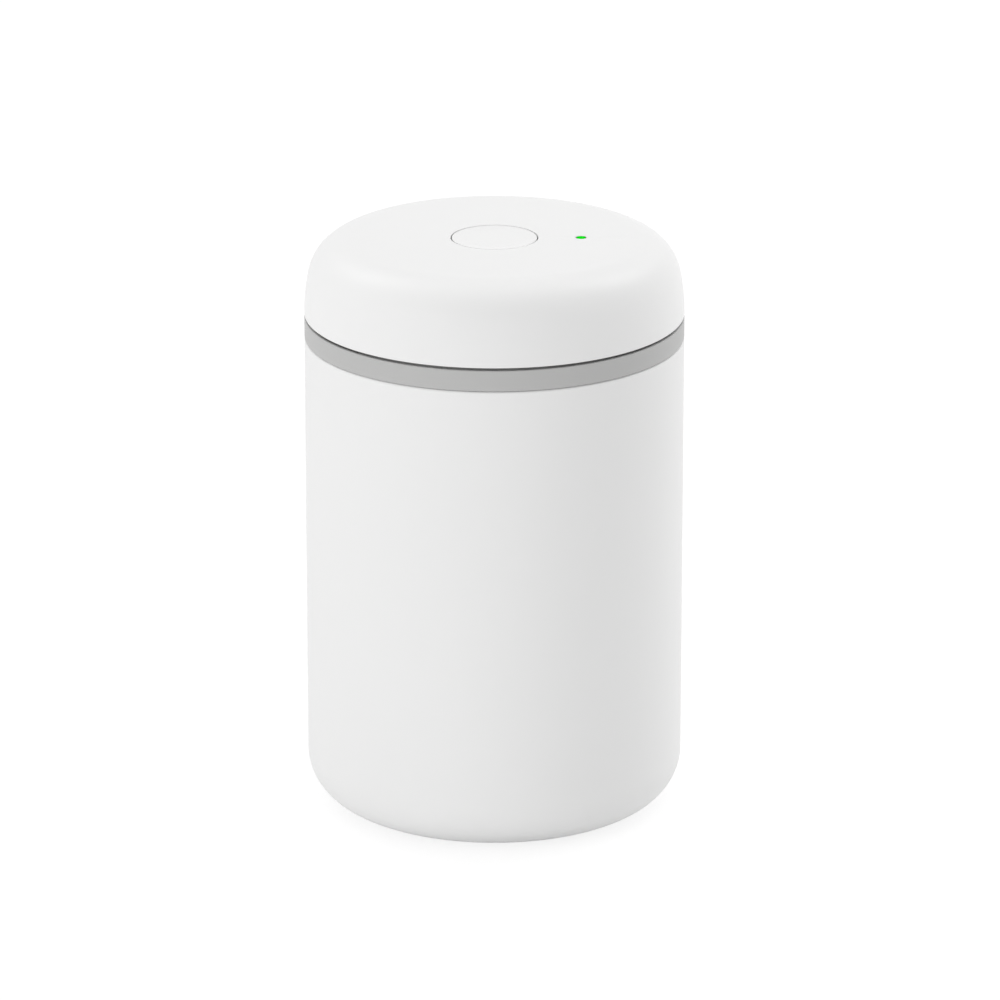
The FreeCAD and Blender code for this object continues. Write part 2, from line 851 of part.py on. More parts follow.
# Vacuum indicator

indicator_flange_top_z = cap_under_z - indicator_stop_gap
indicator_flange_bottom_z = indicator_flange_top_z - indicator_flange_height
indicator_seal_bottom_z = indicator_flange_bottom_z - indicator_seal_height


def indicator_pin():
    """Pin with a stop flange under the cap and a spigot for its seal."""
    head = post(indicator_radius, indicator_x, indicator_flange_top_z, cap_top_z - indicator_recess)
    flange = post(indicator_flange_radius, indicator_x, indicator_flange_bottom_z, indicator_flange_top_z)
    spigot_bottom_z = indicator_flange_bottom_z - indicator_spigot_length
    spigot = post(indicator_spigot_radius, indicator_x, spigot_bottom_z, indicator_flange_bottom_z)
    return head.fuse([flange, spigot]).removeSplitter()


def indicator_seal():
    """Cup seal on the spigot."""
    outer = indicator_bore_radius - indicator_seal_clearance
    span = (indicator_x, indicator_seal_bottom_z, indicator_flange_bottom_z)
    return post(outer, *span).cut(post(indicator_spigot_radius, *span))


def indicator_spring():
    """Spring under the seal that holds the pin up."""
    mean_radius = (indicator_spigot_radius + indicator_bore_radius) / 2
    return coil(
        mean_radius,
        indicator_wire_radius,
        indicator_spring_turns,
        cylinder_top_z + indicator_floor,
        indicator_seal_bottom_z,
        indicator_x,
    )


pieces = {
    "canister_shell": canister_shell(),
    "base_pad": base_pad(),
    "lower_housing": lower_housing(),
    "rim_gasket": rim_gasket(),
    "cam_ring": cam_ring(),
    "cam_ring_screws": screw_group(cam_screw_length, cam_screw_circle, floor_bottom_z, cam_screw_angles),
    "thrust_washer": thrust_washer(),
    "filter_holder": filter_holder(),
    "filter_disc": filter_disc(),
    "cap_shell": cap_shell(),
    "pump_body": pump_body(),
    "pump_body_screws": screw_group(pump_screw_length, pump_screw_circle, cylinder_top_z, pump_screw_angles),
    "hub_o_ring": hub_o_ring(),
    "hub_snap_ring": hub_snap_ring(),
    "inlet_flap": inlet_flap(),
    "piston": piston(),
    "piston_outer_seal": piston_outer_seal(),
    "piston_inner_seal": piston_inner_seal(),
    "follower_pins": follower_pins(),
    "follower_sleeves": follower_sleeves(),
    "outlet_flap": outlet_flap(),
    "button_cap": button_cap(),
    "button_stem": button_stem(),
    "button_spring": button_spring(),
    "release_valve": release_valve(),
    "release_valve_seal": release_valve_seal(),
    "indicator_pin": indicator_pin(),
    "indicator_seal": indicator_seal(),
    "indicator_spring": indicator_spring(),
}

for name, shape in pieces.items():
    shape.exportStep(os.path.join("parts", name + ".step"))
    solids = len(shape.Solids)
    print(name, "solids", solids, "volume", round(shape.Volume, 1), "valid", shape.isValid())
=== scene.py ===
import json
import math

import bpy
import numpy as np
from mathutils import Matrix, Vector


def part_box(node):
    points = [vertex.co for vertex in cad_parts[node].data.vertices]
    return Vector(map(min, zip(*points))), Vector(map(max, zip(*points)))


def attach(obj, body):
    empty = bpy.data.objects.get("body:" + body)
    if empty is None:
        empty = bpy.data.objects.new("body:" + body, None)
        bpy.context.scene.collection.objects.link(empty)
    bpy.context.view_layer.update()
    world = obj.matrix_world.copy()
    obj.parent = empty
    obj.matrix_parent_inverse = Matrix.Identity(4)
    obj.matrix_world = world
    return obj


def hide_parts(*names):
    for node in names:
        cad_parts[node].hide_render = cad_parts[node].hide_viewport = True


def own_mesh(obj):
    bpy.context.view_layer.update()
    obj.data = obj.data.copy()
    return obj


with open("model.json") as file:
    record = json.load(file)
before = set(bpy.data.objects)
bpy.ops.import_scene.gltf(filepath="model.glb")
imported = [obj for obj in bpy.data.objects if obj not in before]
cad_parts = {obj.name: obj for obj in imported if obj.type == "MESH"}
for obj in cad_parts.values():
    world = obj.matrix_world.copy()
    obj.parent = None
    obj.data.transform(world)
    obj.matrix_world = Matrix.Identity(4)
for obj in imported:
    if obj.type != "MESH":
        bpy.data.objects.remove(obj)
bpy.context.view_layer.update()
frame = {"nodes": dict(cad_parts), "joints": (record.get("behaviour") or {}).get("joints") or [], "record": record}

cadNodes = frame["nodes"]
mm = 0.001
print("frame loaded,", len(cadNodes), "nodes")


# Shader maths: a Flow is a socket that can be added, multiplied and so on, and each sign adds
# one Math node
class Flow:
    def __init__(self, web, socket):
        self.web = web
        self.socket = socket

    def __add__(self, other):
        return self.web.math("ADD", self, other)

    def __radd__(self, other):
        return self.web.math("ADD", other, self)

    def __sub__(self, other):
        return self.web.math("SUBTRACT", self, other)

    def __mul__(self, other):
        return self.web.math("MULTIPLY", self, other)

    def __pow__(self, other):
        return self.web.math("POWER", self, other)


class Web:
    # one node tree, and the ways to add to it
    def __init__(self, tree):
        self.tree = tree
        tree.nodes.clear()

    def node(self, kind, settings=None, sockets=None):
        made = self.tree.nodes.new(kind)
        for key, value in (settings or {}).items():
            setattr(made, key, value)
        self.feed(made, sockets or {})
        return made

    def feed(self, made, sockets):
        for key, value in sockets.items():
            source = value.socket if isinstance(value, Flow) else value
            if isinstance(source, bpy.types.NodeSocket):
                self.tree.links.new(source, made.inputs[key])
            else:
                made.inputs[key].default_value = source

    def math(self, operation, first, second):
        made = self.node("ShaderNodeMath", {"operation": operation}, {0: first, 1: second})
        return Flow(self, made.outputs[0])

    def vector(self, operation, sockets):
        return self.node("ShaderNodeVectorMath", {"operation": operation}, sockets).outputs[0]

    def seenDirectly(self):
        # 1 for rays from the camera, off a glossy surface or through a clear one, 0 for the rest
        path = self.node("ShaderNodeLightPath")
        kinds = ("Camera", "Glossy", "Transmission")
        camera, glossy, through = (Flow(self, path.outputs[f"Is {kind} Ray"]) for kind in kinds)
        return self.math("MINIMUM", camera + glossy + through, 1.0)


colourMix = {"factor": 0, "first": 6, "second": 7, "result": 2}   # a Mix node's colour sockets
levelOnly = (1.0, 1.0, 0.0)                                       # takes the height away


class Finish(Web):
    # one material: a Principled shader and the nodes that feed it
    def __init__(self, name, **values):
        self.material = bpy.data.materials.new(name)
        self.material.use_nodes = True
        super().__init__(self.material.node_tree)
        self.surface = self.node("ShaderNodeBsdfPrincipled", sockets=values)
        self.node("ShaderNodeOutputMaterial", sockets={"Surface": self.surface.outputs[0]})
        self.place = self.node("ShaderNodeTexCoord").outputs["Object"]

    def noise(self, detail, scale=1.0, where=None):
        sockets = {"Vector": where or self.place, "Scale": scale, "Detail": detail}
        return Flow(self, self.node("ShaderNodeTexNoise", sockets=sockets).outputs["Fac"])

    def stretch(self, scale):
        # object coordinates with a scale of their own along each axis
        return self.vector("MULTIPLY", {0: self.place, 1: scale})

    def axes(self):
        made = self.node("ShaderNodeSeparateXYZ", sockets={0: self.place})
        return [Flow(self, socket) for socket in made.outputs]

    def roundAxis(self, turnScale, lineScale):
        # coordinates that run round the upright axis: cosine and sine of the turn, and the
        # distance from the axis plus the height
        x, y, z = self.axes()
        depth = (x * x + y * y) ** 0.5
        along = depth * lineScale + z * lineScale
        turn = self.vector("NORMALIZE", {0: self.stretch(levelOnly)})
        turn = self.vector("SCALE", {0: turn, "Scale": turnScale})
        lift = self.node("ShaderNodeCombineXYZ", sockets={"Z": along}).outputs[0]
        return self.vector("ADD", {0: turn, 1: lift})

    def blendColour(self, factor, first, second):
        sockets = {
            colourMix["factor"]: factor, colourMix["first"]: first, colourMix["second"]: second,
        }
        made = self.node("ShaderNodeMix", {"data_type": "RGBA"}, sockets)
        return made.outputs[colourMix["result"]]

    def bump(self, height, strength, distance):
        sockets = {"Strength": strength, "Distance": distance, "Height": height}
        return self.node("ShaderNodeBump", sockets=sockets).outputs[0]

    def wear(self, **sockets):
        self.feed(self.surface, {key.replace("_", " "): value for key, value in sockets.items()})
        return self.material


def rgb(colour, share=1.0):
    return (*(channel * share for channel in colour), 1.0)


noiseMiddle = 0.5   # a noise's middle value, from which a spread goes both ways
noiseDetail = {
    "grain": 3.0, "swell": 2.0, "drift": 3.0, "lines": 4.0, "smear": 3.0, "marks": 3.0,
    "spots": 4.0, "fibres": 3.0,
}


def mouldedFinish(name, look):
    # fine grain from the mould or the spray, a slow drift of tone, and roughness that follows
    # the grain
    finish = Finish(name, **{"Specular IOR Level": look["specular"]})
    grain = finish.noise(noiseDetail["grain"], look["grainScale"])
    swell = finish.noise(noiseDetail["swell"], look["swellScale"])
    drift = finish.noise(noiseDetail["drift"], look["driftScale"])
    height = grain + swell * look["swellShare"]
    plain, drifted = rgb(look["colour"]), rgb(look["colour"], look["driftDepth"])
    return finish.wear(
        Base_Color=finish.blendColour(drift, plain, drifted),
        Roughness=look["roughness"] + (grain - noiseMiddle) * look["roughSpread"],
        Normal=finish.bump(height, look["bump"], look["grainDepth"]),
    )


whiteCoatLook = {
    "colour": (0.83, 0.83, 0.828), "driftDepth": 0.985, "driftScale": 18.0,
    "grainScale": 2100.0, "grainDepth": 0.03 * mm, "swellScale": 600.0, "swellShare": 0.6,
    "bump": 0.35, "roughness": 0.55, "roughSpread": 0.12, "specular": 0.35,
}
whitePlasticLook = {
    "colour": (0.835, 0.835, 0.833), "driftDepth": 0.985, "driftScale": 22.0,
    "grainScale": 3200.0, "grainDepth": 0.02 * mm, "swellScale": 900.0, "swellShare": 0.3,
    "bump": 0.35, "roughness": 0.42, "roughSpread": 0.1, "specular": 0.5,
}
buttonPlasticLook = {**whitePlasticLook, "roughness": 0.22}   # the button is glossier than the cap
greyPlasticLook = {
    "colour": (0.478, 0.478, 0.474), "driftDepth": 0.97, "driftScale": 26.0,
    "grainScale": 3000.0, "grainDepth": 0.02 * mm, "swellScale": 900.0, "swellShare": 0.3,
    "bump": 0.4, "roughness": 0.5, "roughSpread": 0.1, "specular": 0.5,
}
pumpPlasticLook = {
    "colour": (0.62, 0.63, 0.64), "driftDepth": 0.95, "driftScale": 40.0,
    "grainScale": 2400.0, "grainDepth": 0.02 * mm, "swellScale": 500.0, "swellShare": 0.4,
    "bump": 0.3, "roughness": 0.45, "roughSpread": 0.12, "specular": 0.45,
}
hardPlasticLook = {
    "colour": (0.8, 0.78, 0.72), "driftDepth": 0.94, "driftScale": 50.0,
    "grainScale": 1800.0, "grainDepth": 0.015 * mm, "swellScale": 400.0, "swellShare": 0.4,
    "bump": 0.25, "roughness": 0.35, "roughSpread": 0.1, "specular": 0.5,
}
sealLook = {
    "colour": (0.62, 0.62, 0.61), "driftDepth": 0.92, "driftScale": 60.0,
    "grainScale": 1500.0, "grainDepth": 0.02 * mm, "swellScale": 300.0, "swellShare": 0.5,
    "bump": 0.3, "roughness": 0.5, "roughSpread": 0.16, "specular": 0.35,
}
footLook = {
    "colour": (0.33, 0.33, 0.33), "driftDepth": 0.88, "driftScale": 45.0,
    "grainScale": 1300.0, "grainDepth": 0.04 * mm, "swellScale": 260.0, "swellShare": 0.5,
    "bump": 0.45, "roughness": 0.7, "roughSpread": 0.14, "specular": 0.3,
}
greenLook = {
    "colour": (0.004, 0.8, 0.008), "driftDepth": 0.96, "driftScale": 300.0,
    "grainScale": 4000.0, "grainDepth": 0.01 * mm, "swellScale": 1500.0, "swellShare": 0.3,
    "bump": 0.2, "roughness": 0.35, "roughSpread": 0.08, "specular": 0.0,
}
# near black for the pin's rim: painted shade of the gap between the pin and the eye
paintedShadeRimLook = {
    "colour": (0.03, 0.05, 0.03), "driftDepth": 0.9, "driftScale": 300.0,
    "grainScale": 3000.0, "grainDepth": 0.01 * mm, "swellScale": 900.0, "swellShare": 0.3,
    "bump": 0.2, "roughness": 0.6, "roughSpread": 0.1, "specular": 0.2,
}


def drawnSteelFinish(name, look):
    # bare drawn steel: fine lines round the axis, from noise stretched along the turn, and
    # faint smears
    finish = Finish(name, Metallic=1.0)
    rings = finish.roundAxis(look["turnScale"], look["lineScale"])
    lines = finish.noise(noiseDetail["lines"], where=rings)
    smear = finish.noise(noiseDetail["smear"], look["smearScale"])
    spread = (lines + smear - 2 * noiseMiddle) * look["roughSpread"]
    return finish.wear(
        Base_Color=finish.blendColour(lines, rgb(look["dark"]), rgb(look["light"])),
        Roughness=look["roughness"] + spread,
        Normal=finish.bump(lines, look["bump"], look["lineDepth"]),
    )


insideSteelLook = {
    "dark": (0.5, 0.5, 0.49), "light": (0.66, 0.66, 0.65), "turnScale": 1.6,
    "lineScale": 5200.0, "lineDepth": 0.01 * mm, "smearScale": 30.0, "bump": 0.25,
    "roughness": 0.34, "roughSpread": 0.12,
}


def platedFinish(name, look):
    # bright plating with faint drawing marks and small dull spots
    finish = Finish(name, Metallic=1.0)
    marks = finish.noise(noiseDetail["marks"], where=finish.stretch(look["markScale"]))
    spots = finish.noise(noiseDetail["spots"], look["spotScale"])
    return finish.wear(
        Base_Color=finish.blendColour(spots, rgb(look["light"]), rgb(look["dark"])),
        Roughness=look["roughness"] + (marks - noiseMiddle) * look["roughSpread"],
        Normal=finish.bump(marks, look["bump"], look["markDepth"]),
    )


platedLook = {
    "dark": (0.5, 0.5, 0.48), "light": (0.68, 0.68, 0.66), "markScale": (900.0, 900.0, 5000.0),
    "markDepth": 0.01 * mm, "spotScale": 600.0, "bump": 0.25, "roughness": 0.28,
    "roughSpread": 0.12,
}


def feltFinish(name, look):
    # matted fibres: the mean of two crossed stretched noises, bright where a fibre lies on top
    finish = Finish(name, **{"Specular IOR Level": look["specular"]})
    along = finish.noise(noiseDetail["fibres"], where=finish.stretch(look["fibreAlong"]))
    across = finish.noise(noiseDetail["fibres"], where=finish.stretch(look["fibreAcross"]))
    fibres = (along + across) * 0.5
    return finish.wear(
        Base_Color=finish.blendColour(fibres, rgb(look["dark"]), rgb(look["light"])),
        Roughness=look["roughness"] + (fibres - noiseMiddle) * look["roughSpread"],
        Normal=finish.bump(fibres, look["bump"], look["fibreDepth"]),
    )


feltLook = {
    "dark": (0.6, 0.59, 0.55), "light": (0.86, 0.85, 0.81),
    "fibreAlong": (400.0, 5000.0, 2500.0), "fibreAcross": (5000.0, 400.0, 2500.0),
    "fibreDepth": 0.08 * mm, "bump": 0.6, "roughness": 0.85, "roughSpread": 0.1,
    "specular": 0.1,
}

finishes = {
    "white_coat": mouldedFinish("whiteCoat", whiteCoatLook),
    "white_plastic": mouldedFinish("whitePlastic", whitePlasticLook),
    "grey_plastic": mouldedFinish("greyPlastic", greyPlasticLook),
    "pump_plastic": mouldedFinish("pumpPlastic", pumpPlasticLook),
    "hard_plastic": mouldedFinish("hardPlastic", hardPlasticLook),
    "soft_seal": mouldedFinish("softSeal", sealLook),
    "foot_rubber": mouldedFinish("footRubber", footLook),
    "green_plastic": mouldedFinish("greenPlastic", greenLook),
    "plated_steel": platedFinish("platedSteel", platedLook),
    "filter_felt": feltFinish("filterFelt", feltLook),
}
insideSteel = drawnSteelFinish("insideSteel", insideSteelLook)
# the pin's rim finish is painted shade of the gap round the pin
paintedShadeRim = mouldedFinish("paintedShadeRim", paintedShadeRimLook)
buttonPlastic = mouldedFinish("buttonPlastic", buttonPlasticLook)
print("finishes made")

# CAD nodes that show as they are get their slot's finish
slotOf = {part["node"]: part["material_slot"] for part in frame["record"]["subparts"]}
for name, node in cadNodes.items():
    node.data.materials.clear()
    node.data.materials.append(finishes[slotOf[name]])

# Mesh helpers
sharpAngle = math.radians(38)   # edges that turn more than this stay crisp
hair = 1e-7                     # points nearer than this are one
endInset = 0.3 * mm             # a straight run's extra points stand this far inside its ends,
endShare = 0.25                 # or this share of a short run


def unit(vectors):
    return vectors / np.maximum(np.linalg.norm(vectors, axis=-1, keepdims=True), hair)


def roundedOutline(corners, steps):
    # closed outline through (x, z) or (x, z, rounding) corners: a rounded corner is the arc that
    # touches both its runs, and each straight run gets a point just inside both its ends, which
    # keeps the arcs' shading off the flat faces
    place = np.array([corner[:2] for corner in corners])
    rounding = np.array([corner[2] if len(corner) > 2 else 0.0 for corner in corners])
    back = unit(np.roll(place, 1, axis=0) - place)
    ahead = unit(np.roll(place, -1, axis=0) - place)
    half = np.arccos(np.clip((back * ahead).sum(1), -1.0, 1.0)) / 2
    centre = place + unit(back + ahead) * (rounding / np.sin(half))[:, None]
    setback = (rounding / np.tan(half))[:, None]
    start = (place + back * setback - centre)[:, None]
    end = (place + ahead * setback - centre)[:, None]
    sweep = np.maximum(math.pi - 2 * half, hair)[:, None, None]
    share = np.linspace(0.0, 1.0, steps)[None, :, None]
    arc = (np.sin((1 - share) * sweep) * start + np.sin(share * sweep) * end) / np.sin(sweep)
    arc = np.where(rounding[:, None, None] > 0, arc + centre[:, None], place[:, None])
    run = np.roll(arc[:, 0], -1, axis=0) - arc[:, -1]
    length = np.linalg.norm(run, axis=1, keepdims=True)
    inset = unit(run) * np.minimum(endInset, length * endShare)
    ends = np.stack((arc[:, -1] + inset, arc[:, -1] + run - inset), 1)
    points = np.concatenate((arc, ends), 1)
    owner = np.repeat(np.arange(len(corners)), points.shape[1])
    points = points.reshape(-1, 2)
    fresh = np.linalg.norm(points - np.roll(points, 1, axis=0), axis=1) > hair
    return points[fresh], owner[fresh]


def latheFaces(outline, segments):
    # surface of revolution: each (r, z) of the outline goes round as (r cos a, r sin a, z), and
    # r = 0 is one pole point
    angle = np.linspace(0, 2 * math.pi, segments, endpoint=False)
    radius, height = outline[:, :1], outline[:, 1:]
    grid = np.broadcast_arrays(radius * np.cos(angle), radius * np.sin(angle), height)
    pole = radius[:, 0] < hair
    column = np.arange(segments)
    vertices = np.stack(grid, -1)[~pole[:, None] | (column == 0)]
    first = np.concatenate(([0], np.cumsum(np.where(pole, 1, segments))[:-1]))
    index = first[:, None] + np.where(pole[:, None], 0, column)
    beside = np.roll(index, -1, axis=1)
    rows = np.arange(len(outline))
    after = np.roll(rows, -1)
    quads = np.stack((index, beside, beside[after], index[after]), -1)
    kinds = [
        (~pole & ~pole[after], [0, 1, 2, 3]),
        (pole & ~pole[after], [0, 2, 3]),
        (~pole & pole[after], [0, 1, 2]),
    ]
    groups = [quads[rowsOf][..., corner].reshape(-1, len(corner)) for rowsOf, corner in kinds]
    owners = np.concatenate([np.repeat(rows[rowsOf], segments) for rowsOf, corner in kinds])
    return vertices, groups, owners


def tubeFaces(path, across, upward, radius, sides):
    # round wire: a circle of the given radius, spanned by two unit vectors, at each point of a
    # path, with flat ends
    angle = np.linspace(0, 2 * math.pi, sides, endpoint=False)[None, :, None]
    circle = across[:, None] * np.cos(angle) + upward[:, None] * np.sin(angle)
    rings = path[:, None] + radius * circle
    vertices = np.concatenate((rings.reshape(-1, 3), path[[0, -1]]))
    index = np.arange(len(path) * sides).reshape(len(path), sides)
    beside = np.roll(index, -1, axis=1)
    walls = np.stack((index[:-1], beside[:-1], beside[1:], index[1:]), -1).reshape(-1, 4)
    tips = np.full(sides, len(path) * sides)
    foot = np.stack((tips, beside[0], index[0]), -1)
    head = np.stack((tips + 1, index[-1], beside[-1]), -1)
    return vertices, [walls, foot, head]


def meshFrom(name, vertices, groups, tints=None):
    # one mesh from point and face arrays, its faces turned to point outwards
    triangles = np.concatenate([
        group[:, [0, k, k + 1]] for group in groups for k in range(1, group.shape[1] - 1)
    ])
    a, b, c = (vertices[triangles[:, k]] for k in range(3))
    if (a * np.cross(b, c)).sum() < 0:
        groups = [group[:, ::-1] for group in groups]
    corners = np.concatenate([group.ravel() for group in groups])
    sizes = np.concatenate([np.full(len(group), group.shape[1]) for group in groups])
    mesh = bpy.data.meshes.new(name)
    mesh.vertices.add(len(vertices))
    mesh.vertices.foreach_set("co", vertices.astype(np.float32).ravel())
    mesh.loops.add(len(corners))
    mesh.loops.foreach_set("vertex_index", corners.astype(np.int32))
    mesh.polygons.add(len(sizes))
    mesh.polygons.foreach_set("loop_start", (np.cumsum(sizes) - sizes).astype(np.int32))
    if tints is not None:
        mesh.polygons.foreach_set("material_index", tints.astype(np.int32))
    mesh.update(calc_edges=True)
    mesh.polygons.foreach_set("use_smooth", np.ones(len(sizes), bool))
    mesh.set_sharp_from_angle(angle=sharpAngle)
    return mesh


def dress(name, mesh, node, body):
    # puts a mesh into the scene in place of a CAD node, riding on a body, in the node's own finish
    mesh.materials.append(finishes[slotOf[node]])
    piece = bpy.data.objects.new(name, mesh)
    bpy.context.scene.collection.objects.link(piece)
    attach(piece, body)
    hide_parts(node)
    return piece


def turnedPiece(name, corners, spec, node, body):
    outline = roundedOutline(corners, spec["arcSteps"])[0]
    vertices, groups = latheFaces(outline, spec["segments"])[:2]
    return dress(name, meshFrom(name, vertices, groups), node, body)


def copiesAround(name, outline, segments, circle, count, firstTurn):
    # one turned outline set evenly about the upright axis: copy k stands at
    # (circle cos t, circle sin t), with t a k-th share of the full turn past the first
    vertices, groups = latheFaces(outline, segments)[:2]
    copy = np.arange(count)
    turn = math.radians(firstTurn) + copy * 2 * math.pi / count
    places = circle * np.stack((np.cos(turn), np.sin(turn), np.zeros_like(turn)), -1)
    copies = (vertices[None] + places[:, None]).reshape(-1, 3)
    offset = copy[:, None, None] * len(vertices)
    faces = [(group[None] + offset).reshape(-1, group.shape[1]) for group in groups]
    return meshFrom(name, copies, faces)


def combine(piece, mesh, operation):
    # adds a mesh to a piece or takes it out, and throws that mesh away
    tool = bpy.data.objects.new(mesh.name, mesh)
    bpy.context.scene.collection.objects.link(tool)
    modifier = piece.modifiers.new(mesh.name, "BOOLEAN")
    modifier.operation = operation
    modifier.solver = "EXACT"
    modifier.object = tool
    shaped = piece.evaluated_get(bpy.context.evaluated_depsgraph_get())
    result = bpy.data.meshes.new_from_object(shaped)
    piece.modifiers.clear()
    before, piece.data = piece.data, result
    bpy.data.meshes.remove(before)
    bpy.data.objects.remove(tool)
    bpy.data.meshes.remove(mesh)
    result.name = piece.name
    result.set_sharp_from_angle(angle=sharpAngle)


def heights(node):
    low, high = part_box(node)
    return low.z, high.z


def reach(node):
    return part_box(node)[1].x


# Canister: drawn steel, coated outside and bare inside, with a hem folded in at the rim and a
# recess for the pad
canister = {
    "wall": 1.2 * mm, "baseRound": 16.2 * mm, "rimRound": 0.8 * mm, "hemHeight": 10.0 * mm,
    "hemWall": 1.2 * mm, "hemEdge": 0.3 * mm, "baseRim": 6.4 * mm, "recess": 1.0 * mm,
    "recessRound": 0.5 * mm, "segments": 288, "arcSteps": 16,
}


def makeCanister(spec):
    bottom, top = heights("canister_shell")
    radius = reach("canister_shell")
    inner = radius - spec["wall"]
    hem = inner - spec["hemWall"]
    hemFoot = top - spec["hemHeight"]
    hemEnd = (hem, hemFoot, spec["hemEdge"])
    recess = radius - spec["baseRound"] - spec["baseRim"]
    floorTop = bottom + spec["wall"]
    step = recess + spec["wall"]
    corners = [
        (0.0, bottom + spec["recess"]),
        (recess, bottom + spec["recess"]),
        (recess, bottom, spec["recessRound"]),
        (radius, bottom, spec["baseRound"]),
        (radius, top, spec["rimRound"]),
        (hem, top, spec["rimRound"]),
        hemEnd,
        (inner, hemFoot),
        (inner, floorTop, spec["baseRound"] - spec["wall"]),
        (step, floorTop, spec["recessRound"]),
        (step, floorTop + spec["recess"], spec["recessRound"]),
        (0.0, floorTop + spec["recess"]),
    ]
    outline, owner = roundedOutline(corners, spec["arcSteps"])
    vertices, groups, rows = latheFaces(outline, spec["segments"])
    bare = owner[rows] >= corners.index(hemEnd)   # from the hem's foot inwards
    mesh = meshFrom("canisterShell", vertices, groups, bare)
    piece = dress("canisterShell", mesh, "canister_shell", "canister")
    piece.data.materials.append(insideSteel)


makeCanister(canister)
print("canister made")

# Base pad: soft disc with ring grooves at shares of its radius, every edge eased
pad = {
    "grooves": (0.35, 0.6, 0.85), "grooveWidth": 1.4 * mm, "grooveDepth": 0.3 * mm,
    "ease": 0.12 * mm, "edge": 0.25 * mm, "segments": 160, "arcSteps": 5,
}


def makePad(spec):
    bottom, top = heights("base_pad")
    radius = reach("base_pad")
    ease = spec["ease"]
    deep = bottom + spec["grooveDepth"]
    corners = [(0.0, bottom)]
    for share in spec["grooves"]:
        near = radius * share
        far = near + spec["grooveWidth"]
        corners += [
            (near, bottom, ease), (near, deep, ease), (far, deep, ease), (far, bottom, ease),
        ]
    corners += [(radius, bottom, spec["edge"]), (radius, top), (0.0, top)]
    turnedPiece("basePad", corners, spec, "base_pad", "canister")


makePad(pad)
print("base pad made")

# Rim gasket: a band in the plug's groove with two soft lips that taper to round tips
gasket = {
    "lipRoot": 1.6 * mm, "lipTip": 0.7 * mm, "bandDepth": 1.5 * mm, "lipLength": 1.3 * mm,
    "tipRound": 0.32 * mm, "rootRound": 0.5 * mm, "segments": 224, "arcSteps": 7,
}


def makeGasket(spec):
    bottom, top = heights("rim_gasket")
    lip = reach("rim_gasket")
    plug = lip - spec["lipLength"]
    back = plug - spec["bandDepth"]
    taper = (spec["lipRoot"] - spec["lipTip"]) / 2
    tip, root = spec["tipRound"], spec["rootRound"]
    corners = [
        (back, bottom),
        (plug, bottom),
        (lip, bottom + taper, tip),
        (lip, bottom + taper + spec["lipTip"], tip),
        (plug, bottom + spec["lipRoot"], root),
        (plug, top - spec["lipRoot"], root),
        (lip, top - taper - spec["lipTip"], tip),
        (lip, top - taper, tip),
        (plug, top),
        (back, top),
    ]
    turnedPiece("rimGasket", corners, spec, "rim_gasket", "lid_base")


makeGasket(gasket)
print("gasket made")

# Lower housing: plug and floor in the canister, the band that shows over the rim, and a collar
# inside the cap
housing = {
    "hubBore": 12.0 * mm, "floor": 2.5 * mm, "socket": 22.1 * mm, "socketWall": 1.5 * mm,
    "socketDepth": 3.0 * mm, "plugWall": 3.0 * mm, "plugRound": 0.8 * mm, "seamDepth": 1.0 * mm,
    "seamHeight": 0.2 * mm, "bandRound": 0.3 * mm, "bandLip": 1.2 * mm, "grooveDepth": 2.5 * mm,
    "collarInset": 3.1 * mm, "collarWall": 2.0 * mm, "collarHeight": 6.0 * mm, "ease": 0.15 * mm,
    "screwHole": 1.6 * mm, "screwCircle": 40.0 * mm, "screwCount": 3, "screwTurn": 0.0,
    "segments": 288, "smallSegments": 32, "arcSteps": 7,
}


def makeHousing(spec):
    low, high = heights("lower_housing")
    radius = reach("lower_housing")
    rim = heights("canister_shell")[1]
    grooveFoot, grooveTop = heights("rim_gasket")
    plug = reach("rim_gasket") - gasket["lipLength"]
    groove = plug - gasket["bandDepth"]
    floorFoot = low + spec["socketDepth"]
    floorTop = floorFoot + spec["floor"]
    socketOut = spec["socket"] + spec["socketWall"]
    seam, seamTop = radius - spec["seamDepth"], rim + spec["seamHeight"]
    bandTop = high - spec["collarHeight"]
    lip, lipFoot = radius - spec["bandLip"], bandTop - spec["grooveDepth"]
    collar = radius - spec["collarInset"]
    collarInside = collar - spec["collarWall"]
    plugInside = plug - spec["plugWall"]
    ease, bandRound = spec["ease"], spec["bandRound"]
    corners = [
        (spec["hubBore"], floorFoot),
        (spec["socket"], floorFoot),
        (spec["socket"], low, ease),
        (socketOut, low, ease),
        (socketOut, floorFoot, ease),
        (plug, floorFoot, spec["plugRound"]),
        (plug, grooveFoot, ease),
        (groove, grooveFoot),
        (groove, grooveTop),
        (plug, grooveTop, ease),
        (plug, rim),
        (seam, rim),
        (seam, seamTop),
        (radius, seamTop, bandRound),
        (radius, bandTop, bandRound),
        (lip, bandTop, bandRound),
        (lip, lipFoot),
        (collar, lipFoot),
        (collar, high, ease),
        (collarInside, high, ease),
        (collarInside, bandTop),
        (plugInside, bandTop),
        (plugInside, floorTop),
        (spec["hubBore"], floorTop),
    ]
    piece = turnedPiece("lowerHousing", corners, spec, "lower_housing", "lid_base")
    hole = spec["screwHole"]
    outline = np.array(((0.0, low), (hole, low), (hole, rim), (0.0, rim)))
    holes = copiesAround("holes", outline, spec["smallSegments"], spec["screwCircle"],
                         spec["screwCount"], spec["screwTurn"])
    combine(piece, holes, "DIFFERENCE")


makeHousing(housing)
print("lower housing made")

